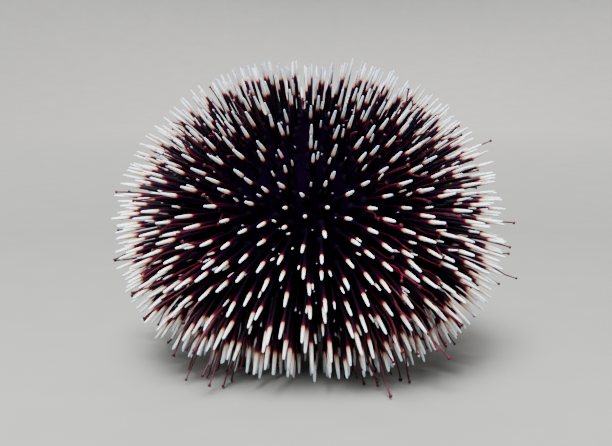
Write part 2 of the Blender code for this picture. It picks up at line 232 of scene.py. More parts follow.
def lay_floor():
    """A flat disc that sweeps up all round: a quarter circle, then a straight wall, turned about Z."""
    bend = np.linspace(0, math.pi / 2, SWEEP_STEPS)
    swept = FLOOR_RADIUS + SWEEP_RADIUS * np.sin(bend)
    radius = np.concatenate([[CENTRE_RADIUS, FLOOR_RADIUS / 2], swept])
    height = np.concatenate([[0, 0], SWEEP_RADIUS * (1 - np.cos(bend))])
    radius, height = np.append(radius, radius[-1]), np.append(height, SWEEP_TOP)
    turn = np.arange(FLOOR_TURNS) / FLOOR_TURNS * math.tau
    points = np.stack(
        [
            radius[:, None] * np.cos(turn),
            radius[:, None] * np.sin(turn),
            np.broadcast_to(height[:, None], (len(height), FLOOR_TURNS)),
        ],
        axis=-1,
    ).reshape(-1, 3)
    ring = np.arange(len(radius) - 1)[:, None] * FLOOR_TURNS
    here = np.arange(FLOOR_TURNS)[None]
    beside = (here + 1) % FLOOR_TURNS
    quads = np.stack(
        [ring + here, ring + FLOOR_TURNS + here, ring + FLOOR_TURNS + beside, ring + beside], axis=-1
    )
    mesh = bpy.data.meshes.new("floor")
    mesh.from_pydata(points.tolist(), [], quads.reshape(-1, 4).tolist())
    mesh.shade_smooth()
    floor = add_object("floor", mesh)
    finish = Finish("pale_floor", 0.9, 0.2)
    place = finish.node("ShaderNodeTexCoord").outputs["Object"]
    length = finish.node("ShaderNodeVectorMath")
    length.operation = "LENGTH"
    finish.link(place, length.inputs[0])
    far = finish.math("DIVIDE", length.outputs["Value"], FLOOR_RADIUS)
    pale = finish.ramp(FLOOR_SHADES, far)
    speckle = finish.ramp(FLOOR_SPECKLE, finish.noise(SPECKLE_SCALE))
    finish.colour(finish.mix(1.0, pale, speckle, "MULTIPLY"))
    mesh.materials.append(finish.material)


ANIMAL = (0, 0, WIDEST_HEIGHT)
# Each panel's name, place, width, power in watts, colour and target
PANELS = (
    ("key", (-0.12, -0.42, 0.96), 0.45, 80.0, (0.93, 0.99, 1.0), ANIMAL),
    ("left_fill", (-0.80, -0.50, 0.35), 0.60, 6.5, (0.92, 0.96, 1.0), ANIMAL),
    ("right_fill", (0.80, -0.50, 0.35), 0.60, 6.5, (0.92, 0.96, 1.0), ANIMAL),
    ("back", (0.1, 1.50, 0.90), 0.80, 20.0, (1.0, 0.98, 0.95), ANIMAL),
    ("backdrop", (0, 0.60, 2.0), 1.2, 27.0, (1.0, 1.0, 1.0), (0, 2.2, 0.3)),
)
SKY_COLOUR = (0.90, 0.93, 1.0)
SKY_STRENGTH = 0.52


def add_panel(name, place, size, power, colour, target):
    """A square soft light that faces its target."""
    data = bpy.data.lights.new(name, "AREA")
    data.size = size
    data.energy = power
    data.color = colour
    light = add_object(name, data)
    light.location = place
    aim = Vector(target) - light.location
    light.rotation_euler = aim.to_track_quat("-Z", "Y").to_euler()


def light_scene():
    """The panels, and a pale even sky."""
    for panel in PANELS:
        add_panel(*panel)
    world = bpy.data.worlds.new("sky")
    world.use_nodes = True
    background = world.node_tree.nodes["Background"]
    background.inputs["Color"].default_value = (*SKY_COLOUR, 1)
    background.inputs["Strength"].default_value = SKY_STRENGTH
    bpy.context.scene.world = world


lay_floor()
light_scene()
print("the floor and", len(PANELS), "soft panels are in place")

# %% [markdown]
# The form of the shell
#
# Every spine, tube foot and plate is set on one smooth form: a superellipse turned round the upright
# axis, with a flatter half below. It could be sculpted, but a formula gives the place and the normal
# at any point, and more than a thousand roots need both. A point is given by its angle up the profile
# and its turn round the axis. Distances up the profile are tabled once, so that rows can be spaced
# evenly.


# %% The shell's profile, normals and arc length
def shell_profile(angle):
    """Radius and height: the reach at an angle is (cos^p / R^p + sin^p / H^p) to the power -1/p."""
    rise = np.where(angle >= 0, SHELL_RISE, SHELL_DROP)
    power = np.where(angle >= 0, SQUARENESS_ABOVE, SQUARENESS_BELOW)
    across = np.abs(np.cos(angle)) / SHELL_RADIUS
    up = np.abs(np.sin(angle)) / rise
    reach = (across**power + up**power) ** (-1 / power)
    return reach * np.cos(angle), WIDEST_HEIGHT + reach * np.sin(angle)


def shell_normal(angle):
    """Outward and upward parts of the unit normal, which is the gradient of the superellipse."""
    radius, height = shell_profile(angle)
    rise = np.where(angle >= 0, SHELL_RISE, SHELL_DROP)
    power = np.where(angle >= 0, SQUARENESS_ABOVE, SQUARENESS_BELOW)
    outward = (radius / SHELL_RADIUS) ** (power - 1) / SHELL_RADIUS
    upward = (np.abs(height - WIDEST_HEIGHT) / rise) ** (power - 1) / rise * np.sign(angle)
    size = np.hypot(outward, upward)
    return outward / size, upward / size


NEAR_POLE = 89.9
PROFILE_POINTS = 900
PROFILE_ANGLES = np.radians(np.linspace(-NEAR_POLE, NEAR_POLE, PROFILE_POINTS))
PROFILE_RADII, PROFILE_HEIGHTS = shell_profile(PROFILE_ANGLES)
PROFILE_STEPS = np.hypot(np.diff(PROFILE_RADII), np.diff(PROFILE_HEIGHTS))
PROFILE_ARCS = np.concatenate(([0], np.cumsum(PROFILE_STEPS)))
UPPER = PROFILE_ANGLES >= 0
MOUTH_ARC = float(np.interp(MOUTH_RADIUS + GAP, PROFILE_RADII[~UPPER], PROFILE_ARCS[~UPPER]))
APEX_ARC = float(np.interp(-APEX_RADIUS - GAP, -PROFILE_RADII[UPPER], PROFILE_ARCS[UPPER]))
print("shell profile runs", round(PROFILE_ARCS[-1] / MM, 1), "mm from pole to pole")


def angle_at_arc(arc):
    """Angle of the profile at a distance run up it, read from the table."""
    return np.interp(arc, PROFILE_ARCS, PROFILE_ANGLES)


def arc_at_angle(angle):
    """Distance run up the profile at an angle, read from the same table."""
    return np.interp(angle, PROFILE_ANGLES, PROFILE_ARCS)


UP = np.array([0.0, 0.0, 1.0])


def round_vectors(turn):
    """Unit vectors straight out from the axis, and round it, for an array of turns."""
    nothing = np.zeros_like(turn)
    out = np.stack([np.cos(turn), np.sin(turn), nothing], axis=-1)
    around = np.stack([-np.sin(turn), np.cos(turn), nothing], axis=-1)
    return out, around


def surface_frame(angle, turn):
    """Place, normal, way up the meridian and way round, for arrays of angle and turn."""
    radius, height = shell_profile(angle)
    outward, upward = shell_normal(angle)
    out, around = round_vectors(turn)
    place = AXIS + out * radius[..., None] + UP * height[..., None]
    normal = out * outward[..., None] + UP * upward[..., None]
    along = UP * outward[..., None] - out * upward[..., None]
    return place, normal, along, around


# %% [markdown]
# One mesh builder for every piece
#
# A spine, a tube foot, the shell and the lips are all grids: rings of corners, one after another, each
# ring closed on itself. Copies of one modelled spine would all be alike. One helper that turns an array
# of shape (pieces, rings, corners, 3) into a mesh makes a thousand different spines with no more code
# than one. It also lays out the maps. On the spines' map each spine is a small round patch at its
# root's place on the unrolled shell, with its tip in the middle, so that its shades survive when the
# finish is baked.


# %% Grid mesh builder
def corner_ids(count, rings, corners):
    """Vertex numbers of the quads, the base caps and the tip caps, as three arrays."""
    base = np.arange(count)[:, None, None] * rings * corners
    ring = np.arange(rings - 1)[None, :, None] * corners
    here = np.arange(corners)[None, None, :]
    beside = (here + 1) % corners
    low = base + ring
    high = low + corners
    quads = np.stack([low + here, low + beside, high + beside, high + here], axis=-1).reshape(-1, 4)
    low_caps = (base[:, 0] + here[0, :, ::-1]).reshape(count, corners)
    high_caps = (base[:, 0] + (rings - 1) * corners + here[0]).reshape(count, corners)
    return quads, low_caps, high_caps


def grid_mesh(name, points):
    """A mesh of closed tubes from points of shape (count, rings, corners, 3), capped at both ends."""
    count, rings, corners, _ = points.shape
    quads, low_caps, high_caps = corner_ids(count, rings, corners)
    mesh = bpy.data.meshes.new(name)
    mesh.vertices.add(count * rings * corners)
    mesh.vertices.foreach_set("co", points.reshape(-1).astype(np.float32))
    loops = np.concatenate([quads.reshape(-1), low_caps.reshape(-1), high_caps.reshape(-1)])
    totals = np.concatenate([np.full(len(quads), 4), np.full(2 * count, corners)])
    mesh.loops.add(len(loops))
    mesh.loops.foreach_set("vertex_index", loops.astype(np.int32))
    mesh.polygons.add(len(totals))
    mesh.polygons.foreach_set("loop_start", (np.cumsum(totals) - totals).astype(np.int32))
    mesh.update(calc_edges=True)
    mesh.shade_smooth()
    return mesh


def corner_values(count, rings, corners):
    """Share round (0 to 1, never wrapping back) and share along, for every face corner in order."""
    along, around = np.meshgrid(np.arange(rings - 1), np.arange(corners), indexing="ij")
    quad_round = np.stack([around, around + 1, around + 1, around], axis=-1) / corners
    quad_along = np.stack([along, along, along + 1, along + 1], axis=-1) / (rings - 1)
    turn = np.arange(corners) / corners
    share_round = np.concatenate(
        [np.tile(quad_round.reshape(-1), count), np.tile(turn[::-1], count), np.tile(turn, count)]
    )
    share_along = np.concatenate(
        [np.tile(quad_along.reshape(-1), count), np.zeros(count * corners), np.ones(count * corners)]
    )
    quad_owner = np.repeat(np.arange(count), (rings - 1) * corners * 4)
    cap_owner = np.repeat(np.arange(count), corners)
    return share_round, share_along, np.concatenate([quad_owner, cap_owner, cap_owner])


def add_map(mesh, name, across, up):
    """Store a UV map from two arrays of face-corner values."""
    layer = mesh.uv_layers.new(name=name)
    layer.uv.foreach_set("vector", np.stack([across, up], axis=-1).reshape(-1).astype(np.float32))


def add_shade(mesh, name, values):
    """Store one number per vertex, which a material can read."""
    layer = mesh.attributes.new(name, "FLOAT", "POINT")
    layer.data.foreach_set("value", values.reshape(-1).astype(np.float32))


def shaft_map(mesh, values, corners):
    """The map along each tube: the share round it across, and each ring's own value upwards."""
    count, rings = values.shape
    share_round, share_along, owner = corner_values(count, rings, corners)
    ring = np.round(share_along * (rings - 1)).astype(int)
    add_map(mesh, "Shaft", share_round, values[owner, ring])


TIP_PATCH_SHARE = 0.12
BASE_SPOT = 0.03
BASE_SPOT_SHIFT = 0.47


def patch_map(mesh, shape, centres, patch):
    """The baking map: each tube is a round patch, its tip in the middle and its base at the rim.

    The cap that closes the base, which is hidden in the shell, is a spot in the patch's corner.
    """
    count, rings, corners, _ = shape
    share_round, share_along, owner = corner_values(count, rings, corners)
    reach = patch / 2 * (1 - share_along * (1 - TIP_PATCH_SHARE))
    first_cap = (rings - 1) * corners * 4 * count
    base_caps = slice(first_cap, first_cap + count * corners)
    middle = centres[owner]
    reach[base_caps] = patch * BASE_SPOT
    middle[base_caps] += patch * BASE_SPOT_SHIFT
    turn = share_round * math.tau
    across = middle[:, 0] + reach * np.cos(turn)
    up = middle[:, 1] + reach * np.sin(turn)
    add_map(mesh, "OFBake", across, up)


def dress(name, mesh, finish, slot, *nodes):
    """Make a piece from its mesh, with its finish, body and the solids it stands for; slot is not used.
    """
    mesh.materials.append(finish.material)
    piece = add_object(name, mesh)
    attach(piece, "root")
    if nodes:
        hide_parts(*nodes)
    print(name, "has", len(mesh.loops) - 2 * len(mesh.polygons), "triangles")
    return piece


# %% [markdown]
# Where the spines stand
#
# On the real shell the spines stand on rows of knobs. Roots scattered at random would leave clumps
# and bald spots, which the animal doesn't have, so they start from even rows and columns. The wide
# sectors have an even number of columns, parted down the middle towards the apex, where the youngest
# plates are still bare. The narrow sectors fit their columns between the pores of the tube feet.
# Every other column is half a row higher, and each root is moved by a small random step.

# %% Root places of the large spines
SPINE_SPACING = 5.2 * MM
ROW_SPACING = 5.1 * MM
ROW_MARGIN = 2.4 * MM
EDGE_MARGIN = 1.9 * MM
PLACE_SPREAD = 0.35 * MM
PARTING = 0.8 * MM


def even_roots(half_angle, wide):
    """Even places of a sector's roots: distance up the shell, and share of the half width."""
    first, last = MOUTH_ARC + ROW_MARGIN, APEX_ARC - ROW_MARGIN
    rows = round((last - first) / ROW_SPACING)
    row_step = (last - first) / rows
    arcs, shares = [], []
    for row in range(rows + 1):
        arc = first + row * row_step
        width = float(shell_profile(angle_at_arc(arc))[0]) * half_angle
        columns = max(1, round(2 * width / SPINE_SPACING))
        if wide:
            columns = 2 * max(1, round(width / SPINE_SPACING))
        column = np.arange(columns)
        arcs.append(arc + column % 2 / 2 * row_step)
        shares.append((2 * column + 1) / columns - 1)
    arcs, shares = np.concatenate(arcs), np.concatenate(shares)
    kept = arcs <= last
    return arcs[kept], shares[kept]


def spine_roots(half_angle, wide, chance):
    """Angle up the profile, and turn from the sector's middle, of each root, moved by a small step."""
    arcs, shares = even_roots(half_angle, wide)
    steps = chance.uniform(-PLACE_SPREAD, PLACE_SPREAD, (2, len(arcs)))
    angles = angle_at_arc(arcs + steps[0])
    radii = shell_profile(angles)[0]
    across = shares * radii * half_angle + steps[1]
    if wide:
        across += np.sign(shares) * PARTING * np.maximum(np.sin(angles), 0)
    limits = radii * half_angle - EDGE_MARGIN
    return angles, np.clip(across, -limits, limits) / radii


# %% Lean and length of the large spines
LENGTH_STOPS = np.radians([-60, -25, 30, 70, 90])
LENGTHS = np.array([20, 21.5, 18.5, 19.5, 17.5]) * MM
LENGTH_SPREAD = 0.06
LEAN_SPREAD = math.radians(3)
LEAN_LIMIT = math.radians(6)
SPINE_DROOP = math.radians(10)
CALM_AT_POLES = 0.5
PARTING_LEAN = math.radians(3)
WIDE_SEED = 100
NARROW_SEED = 200


def spine_leans(angles, turns, wide, chance):
    """Lean up the meridian and round the axis, calmer near the poles.

    All droop towards the mouth by the cosine of their angle up the shell, and in a wide sector they
    also lean away from the bare parting.
    """
    leans = np.clip(chance.normal(0, LEAN_SPREAD, (2, len(angles))), -LEAN_LIMIT, LEAN_LIMIT)
    leans *= CALM_AT_POLES + (1 - CALM_AT_POLES) * np.cos(angles)
    leans[0] -= SPINE_DROOP * np.cos(angles)
    if wide:
        leans[1] += np.sign(turns) * PARTING_LEAN * np.maximum(np.sin(angles), 0)
    return leans


def length_at(angles):
    """Mean length of the large spines at each angle up the shell."""
    return np.interp(angles, LENGTH_STOPS, LENGTHS)


def sector_spines(middle, half_angle, wide, chance):
    """One row each for angle, turn, both leans, length and roll; one column for each spine."""
    angles, turns = spine_roots(half_angle, wide, chance)
    leans = spine_leans(angles, turns, wide, chance)
    lengths = length_at(angles) * (1 + chance.uniform(-LENGTH_SPREAD, LENGTH_SPREAD, len(angles)))
    rolls = chance.uniform(0, math.tau, len(angles))
    return np.stack([angles, middle + turns, *leans, lengths, rolls])


SECTOR_KINDS = ("interambulacrum", "ambulacrum")
SECTOR_NODES = [f"{kind}_{number + 1}" for number in range(SECTOR_COUNT) for kind in SECTOR_KINDS]
NARROW_CHANCES = [np.random.default_rng(NARROW_SEED + number + 1) for number in range(SECTOR_COUNT)]


def fifth_spines(number):
    """Spines of one fifth of the animal: a wide sector and the narrow one beside it."""
    middle = FIRST_WIDE_MIDDLE + number * FIFTH
    chance = np.random.default_rng(WIDE_SEED + number + 1)
    wide = sector_spines(middle, WIDE_HALF_ANGLE, True, chance)
    narrow = sector_spines(middle + FIFTH / 2, NARROW_HALF_ANGLE, False, NARROW_CHANCES[number])
    return np.concatenate([wide, narrow], axis=1)


FIFTHS = [fifth_spines(number) for number in range(SECTOR_COUNT)]
ALL_SPINES = np.concatenate(FIFTHS, axis=1)
print("large spines:", ALL_SPINES.shape[1])

# %% [markdown]
# The large spines
#
# A spine of this animal is short, straight and blunt. It sits on a small ball joint with a raised
# collar, runs almost parallel, and ends in a rounded tip. It shows only a few pixels wide, so nine
# rings of seven corners are enough, and more would only slow the scene. One unit profile is carried
# along each spine's own axis, which leans a few degrees from the shell's normal. Lower spines that
# would reach through the floor are as short as the animal's height allows.

# %% Spine profile and directions
SPINE_SIDES = 7
SPINE_ALONG = np.array([-0.05, 0.03, 0.06, 0.10, 0.62, 0.82, 0.965, 0.990, 1.0])
SPINE_WIDTH = np.array([1.10, 1.60, 1.60, 1.15, 1.25, 1.04, 0.72, 0.54, 0.20])
SPINE_RADIUS = 0.52 * MM
FLOOR_CLEARANCE = 0.15 * MM
STEEP = 0.8
TINY = 1e-6


def lean(normal, along, around, lean_up, lean_round):
    """Unit directions: the normal tipped up the meridian and round the axis by two angles."""
    tipped = normal + along * np.tan(lean_up)[:, None] + around * np.tan(lean_round)[:, None]
    return tipped / np.linalg.norm(tipped, axis=1, keepdims=True)


def side_vectors(direction, roll):
    """Two unit vectors square to each direction, turned about it by roll."""
    helper = np.where(np.abs(direction[:, 2:]) < STEEP, [[0.0, 0.0, 1.0]], [[1.0, 0.0, 0.0]])
    side = np.cross(direction, helper)
    side /= np.linalg.norm(side, axis=1, keepdims=True)
    other = np.cross(direction, side)
    cosine, sine = np.cos(roll)[:, None], np.sin(roll)[:, None]
    return side * cosine + other * sine, other * cosine - side * sine


def straight_tubes(place, direction, length, radius, profile_along, profile_width, sides, roll):
    """Corner points: place + direction * length * s, plus a circle of radius * width(s) round it."""
    side, other = side_vectors(direction, roll)
    turn = np.arange(sides) / sides * math.tau
    circle = side[:, None] * np.cos(turn)[None, :, None] + other[:, None] * np.sin(turn)[None, :, None]
    middle = place[:, None] + direction[:, None] * (length[:, None] * profile_along)[..., None]
    width = radius[:, None] * profile_width
    return middle[:, :, None] + circle[:, None] * width[:, :, None, None]


def floor_limited(place, direction, length, clearance):
    """Lengths cut so that a tube that points down ends at a clearance above the floor."""
    drop = np.maximum(-direction[:, 2], TINY)
    allowed = (place[:, 2] - clearance) / drop
    return np.where(direction[:, 2] < 0, np.minimum(length, allowed), length)


WHOLE_FIRST_TURN = FIRST_WIDE_MIDDLE - WIDE_HALF_ANGLE
WHOLE_TURN = (WHOLE_FIRST_TURN, math.tau)
MAP_MARGIN = 0.02


def unrolled(angles, turns, window=WHOLE_TURN):
    """Places on the unrolled shell, from 0 to 1: turn across and distance up the profile.

    The window is the turn at the map's left edge, and the turn that its whole width spans.
    """
    across = (turns - window[0]) / window[1]
    up = (arc_at_angle(angles) - MOUTH_ARC) / (APEX_ARC - MOUTH_ARC)
    return MAP_MARGIN + (1 - 2 * MAP_MARGIN) * np.stack([across, up], axis=-1)


# %% [markdown]
# The spines' finish
#
# From root to tip a spine goes from nearly black violet through wine red and a short tan flush to
# cream and then a cooler white. The shade could follow the share of the length, but then the shorter
# of two neighbours would have the shorter white end, and on the animal their ends are alike. So it
# follows the real distance from the tip. Each spine shifts it a little, some spines blush warmer, and
# those at the top are greyed by a painted shade, where their sides get less light. Fine ribs and
# streaks run along the shaft. They are drawn on the spine's own map, so they turn and lean with it.

# %% Spine finish
SPINE_STOPS = [
    (0.00, (0.66, 0.86, 1.00)),
    (0.09, (0.82, 0.92, 1.00)),
    (0.14, (0.82, 0.81, 0.78)),
    (0.21, (0.70, 0.57, 0.45)),
    (0.245, (0.40, 0.20, 0.14)),
    (0.266, (0.12, 0.010, 0.020)),
    (0.288, (0.030, 0.0004, 0.010)),
    (0.36, (0.0068, 0.0001, 0.0052)),
    (0.55, (0.0016, 0.0001, 0.0030)),
]
LEAST_PACE = 0.85
PACE_SPREAD = 0.30
BLOTCH_SCALE = 900.0
BLOTCH_SHIFT = 0.05
BLUSH_TINT = (0.92, 0.70, 0.66)
# Painted shade that greys the spines high on the shell, where their visible sides get less light
TOP_PAINTED_SHADE = (0.42, 0.44, 0.52)
STREAKS = [(0.35, (0.64, 0.62, 0.60)), (0.62, (1.0, 1.0, 1.0))]
STREAKS_ALONG = 16.0
STREAK_CHANGE = 60.0
SPINE_RIBS = 14
RIB_STRENGTH = 0.35
RIB_HEIGHT = 0.05 * MM


def spine_finish():
    """Colour by the distance from the tip, then tints, streaks and ribs.

    Each spine's tone stretches the distance and soft blotches shift it. The blush and the painted top
    shade that are stored on the mesh say how strong the warm tint and the painted shade are. Streaks
    darken the spine here and there, and the ribs are bump.
    """
    finish = Finish("spine", 0.5, 0.03)
    share_round, from_tip = finish.shaft()
    tone = finish.attribute("tone")
    pace = finish.math("MULTIPLY_ADD", tone, PACE_SPREAD, LEAST_PACE)
    blotch = finish.math("SUBTRACT", finish.noise(BLOTCH_SCALE, 2.0), 0.5)
    shift = finish.math("MULTIPLY", blotch, BLOTCH_SHIFT)
    distance = finish.math("ADD", finish.math("MULTIPLY", from_tip, pace), shift)
    colour = finish.ramp(SPINE_STOPS, distance)
    colour = finish.mix(finish.attribute("blush"), colour, BLUSH_TINT, "MULTIPLY")
    # Painted shade on the spines high on the shell, as strong as the value stored on the mesh
    colour = finish.mix(finish.attribute("painted_top_shade_strength"), colour, TOP_PAINTED_SHADE, "MULTIPLY")
    streak_place = finish.node("ShaderNodeCombineXYZ")
    finish.link(finish.math("MULTIPLY", share_round, SPINE_RIBS), streak_place.inputs["X"])
    finish.link(finish.math("MULTIPLY", from_tip, STREAKS_ALONG), streak_place.inputs["Y"])
    finish.link(finish.math("MULTIPLY", tone, STREAK_CHANGE), streak_place.inputs["Z"])
    streaks = finish.ramp(STREAKS, finish.noise(1.0, 2.0, streak_place.outputs["Vector"]))
    finish.colour(finish.mix(1.0, colour, streaks, "MULTIPLY"))
    ribs = finish.math("SINE", finish.math("MULTIPLY", share_round, SPINE_RIBS * math.tau))
    finish.bump(ribs, RIB_STRENGTH, RIB_HEIGHT)
    return finish


SPINE_FINISH = spine_finish()
print("the spines' finish has", len(SPINE_FINISH.nodes), "nodes")

# %% Grow the large spines
SPINE_PATCH = 0.026
WIDTH_SPREAD = 0.08
WIDTH_CHANGE = 0.20
SHADE_SCALE = 25 * MM
WHITE_CHANGE = 0.18
BLUSH_POWER = 2
TOP_SHADE_STRENGTHS = (0.5, 1.3)
SHADE_SEED = 300


def spine_piece(
    name,
    spines,
    seed,
    *nodes,
    radius=SPINE_RADIUS,
    haste=1.0,
    patch=SPINE_PATCH,
    window=WHOLE_TURN,
    slot="wide_sector",
):
    """Joined spines from their table, in one piece.

    Going up the shell, the sine of the angle makes them thinner and their white ends shorter. Haste
    is how much sooner than on a large spine the white gives way to the dark.
    """
    chance = np.random.default_rng(seed)
    angles, turns, lean_up, lean_round, length, roll = spines
    count = len(angles)
    place, normal, along, around = surface_frame(angles, turns)
    direction = lean(normal, along, around, lean_up, lean_round)
    length = floor_limited(place, direction, length, FLOOR_CLEARANCE)
    widths = radius * (1 - WIDTH_CHANGE * np.sin(angles))
    widths = widths * (1 + chance.uniform(-WIDTH_SPREAD, WIDTH_SPREAD, count))
    points = straight_tubes(
        place, direction, length, widths, SPINE_ALONG, SPINE_WIDTH, SPINE_SIDES, roll
    )
    points[..., 2] = np.maximum(points[..., 2], FLOOR_CLEARANCE)
    mesh = grid_mesh(name, points)
    pace = haste * (1 + WHITE_CHANGE * np.sin(angles)) / SHADE_SCALE
    shaft_map(mesh, length[:, None] * (1 - SPINE_ALONG) * pace[:, None], SPINE_SIDES)
    patch_map(mesh, points.shape, unrolled(angles, turns, window), patch)
    corners = len(SPINE_ALONG) * SPINE_SIDES
    add_shade(mesh, "tone", np.repeat(chance.uniform(0, 1, count), corners))
    add_shade(mesh, "blush", np.repeat(chance.uniform(0, 1, count) ** BLUSH_POWER, corners))
    # Strength of the painted shade on the top spines, greater the higher they stand
    painted_top_shade_strength = np.maximum(np.sin(angles), 0) * chance.uniform(*TOP_SHADE_STRENGTHS, count)
    add_shade(mesh, "painted_top_shade_strength", np.repeat(np.minimum(painted_top_shade_strength, 1), corners))
    return dress(name, mesh, SPINE_FINISH, slot, *nodes)


for number, spines in enumerate(FIFTHS):
    window = (FIRST_WIDE_MIDDLE + number * FIFTH - WIDE_HALF_ANGLE, FIFTH)
    nodes = [f"{kind}_{number + 1}" for kind in SECTOR_KINDS]
    spine_piece(f"spines_{number + 1}", spines, SHADE_SEED + number, *nodes, window=window)

# %% [markdown]
# Spines of the apical disc, and the short spines
#
# The round disc at the top carries its own two rings of spines. All over the shell, thinner and
# shorter spines stand between the large ones. From the front only their pale ends show, as small
# dashes in the dark. They could have a profile and a finish of their own, but the same ones serve,
# with a smaller radius and a quicker change of shade.

# %% Grow the apical spines
# Each ring's number of spines, distance from the axis and length
APEX_RINGS = ((10, 6.5 * MM, 16 * MM), (5, 3.2 * MM, 13 * MM))
APEX_SHADE_SEED = 310


def apex_spines():
    """A table of spines on two rings round the apex, evenly spaced and square to the shell."""
    rings = []
    for count, radius, length in APEX_RINGS:
        angle = np.interp(-radius, -PROFILE_RADII[UPPER], PROFILE_ANGLES[UPPER])
        turns = np.mod((np.arange(count) + 0.5) / count * math.tau - WHOLE_FIRST_TURN, math.tau)
        fixed = [np.full(count, value) for value in (angle, 0.0, 0.0, length, 0.0)]
        rings.append(np.stack([fixed[0], WHOLE_FIRST_TURN + turns, *fixed[1:]]))
    return np.concatenate(rings, axis=1)


APEX_SPINES = apex_spines()
spine_piece("apex_spines", APEX_SPINES, APEX_SHADE_SEED, "apical_disc", slot="apical_plate")

# %% Grow the short spines
SHORT_RADIUS = 0.34 * MM
SHORT_SHARE = 0.60
SHORT_SPREAD = 0.28
SHORT_LEAN = 1.5
SHORT_HASTE = 1.9
SHORT_KEPT = 0.45
SHORT_PATCH = 0.012
SHORT_SEED = 320
SHORT_SHADE_SEED = 330
BETWEEN_SPREAD = 0.5 * MM
TOP_THINNING = 0.5


def between_roots(kept, chance, shift_rows, shift_columns):
    """Places between the large spines: their roots moved by part of a row and part of a column.

    Kept is the share of roots used, which falls above the widest ring by the sine of the angle.
    """
    share = kept * (1 - TOP_THINNING * np.maximum(np.sin(ALL_SPINES[0]), 0))
    chosen = chance.uniform(0, 1, ALL_SPINES.shape[1]) < share
    angles, turns = ALL_SPINES[0, chosen], ALL_SPINES[1, chosen]
    count = len(angles)
    arcs = arc_at_angle(angles) + ROW_SPACING * shift_rows
    arcs = arcs + chance.uniform(-BETWEEN_SPREAD, BETWEEN_SPREAD, count)
    arcs = np.clip(arcs, MOUTH_ARC + EDGE_MARGIN, APEX_ARC)
    radii = shell_profile(angle_at_arc(arcs))[0]
    side = np.where(chance.uniform(0, 1, count) < 0.5, -1, 1)
    across = side * SPINE_SPACING * shift_columns
    across = across + chance.uniform(-BETWEEN_SPREAD, BETWEEN_SPREAD, count)
    return angle_at_arc(arcs), turns + across / radii


def random_leans(count, times, chance):
    """Leans up and round of small pieces: some times those of the large spines, with no droop."""
    leans = chance.normal(0, times * LEAN_SPREAD, (2, count))
    return np.clip(leans, -times * LEAN_LIMIT, times * LEAN_LIMIT)


def short_spines():
    """A table of thinner spines at the places between, leaning more than the large ones."""
    chance = np.random.default_rng(SHORT_SEED)
    angles, turns = between_roots(SHORT_KEPT, chance, 0.5, 0.25)
    count = len(angles)
    leans = random_leans(count, SHORT_LEAN, chance)
    lengths = length_at(angles) * SHORT_SHARE
    lengths = lengths * (1 + chance.uniform(-SHORT_SPREAD, SHORT_SPREAD, count))
    return np.stack([angles, turns, *leans, lengths, chance.uniform(0, math.tau, count)])


spine_piece(
    "short_spines",
    short_spines(),
    SHORT_SHADE_SEED,
    radius=SHORT_RADIUS,
    haste=SHORT_HASTE,
    patch=SHORT_PATCH,
)

# %% [markdown]
# Knobs and pincer organs
#
# Each large spine turns on a smooth knob of the shell. Between the spines stand pedicellariae, tiny
# pincers on thin stalks that keep the skin clean. Their pale heads are the fine specks in the dark.
# Modelled jaws would be finer than a pixel, so each head is a bud in the profile of its stalk. Both
# the knobs and the pincers are tubes along a straight line, as the spines are.

# %% Knobs under the spines
KNOB_SIDES = 8
KNOB_ALONG = np.array([-0.4, 0.0, 0.45, 0.80, 1.0])
KNOB_WIDTH = np.array([1.0, 1.0, 0.80, 0.62, 0.5])
KNOB_RADIUS = 1.75 * MM
KNOB_HEIGHT = 1.0 * MM
KNOB_SHADES = [(0.35, (0.0004, 0.00004, 0.0009)), (0.7, (0.0020, 0.0002, 0.0032))]


def mottled(name, roughness, specular, shades, patches, grain):
    """A finish of shades that follow soft patches of noise, with a finer grain as bump.

    Patches are the noise's scale and detail. Grain is its scale, detail, strength and height.
    """
    finish = Finish(name, roughness, specular)
    finish.colour(finish.ramp(shades, finish.noise(*patches)))
    scale, detail, strength, height = grain
    finish.bump(finish.noise(scale, detail), strength, height)
    return finish


# Dark violet, mottled, with a fine grain as bump
KNOB_FINISH = mottled("knob", 0.6, 0.01, KNOB_SHADES, (300.0, 3.0), (2500.0, 3.0, 0.4, 0.08 * MM))


def knobs():
    """Low domes round the roots, square to the shell."""
    angles, turns = np.concatenate([ALL_SPINES, APEX_SPINES], axis=1)[:2]
    place, normal, _, _ = surface_frame(angles, turns)
    count = len(angles)
    sizes = np.full(count, KNOB_HEIGHT), np.full(count, KNOB_RADIUS)
    points = straight_tubes(
        place, normal, *sizes, KNOB_ALONG, KNOB_WIDTH, KNOB_SIDES, np.zeros(count)
    )
    mesh = grid_mesh("knobs", points)
    patch_map(mesh, points.shape, unrolled(angles, turns), SHORT_PATCH)
    return dress("knobs", mesh, KNOB_FINISH, "wide_sector")


knobs()

# %% Pincer organs
PINCER_SIDES = 5
PINCER_ALONG = np.array([-0.1, 0.5, 0.88, 0.90, 0.94, 0.985, 1.0])
PINCER_WIDTH = np.array([0.35, 0.30, 0.35, 0.80, 1.0, 0.70, 0.2])
PINCER_RADIUS = 0.32 * MM
PINCER_WIDTHS = (0.7, 1.1)
PINCER_LENGTHS = (5 * MM, 12 * MM)
PINCER_LEAN = 2
PINCER_KEPT = 0.4
PINCER_SEED = 340
PINCER_STOPS = [(0.0, (0.003, 0.0002, 0.003)), (0.80, (0.016, 0.001, 0.010)), (0.90, (0.22, 0.17, 0.26))]
PINCER_SPECKS = [(0.3, (0.8, 0.78, 0.8)), (0.7, (1.0, 1.0, 1.0))]
SPECK_SCALE = 2000.0


def pincer_finish():
    """A dark stalk and a pale mauve head, told apart by the share along the stalk."""
    finish = Finish("pincer", 0.5, 0.1)
    share_along = finish.shaft()[1]
    specks = finish.ramp(PINCER_SPECKS, finish.noise(SPECK_SCALE))
    finish.colour(finish.mix(1.0, finish.ramp(PINCER_STOPS, share_along), specks, "MULTIPLY"))
    return finish


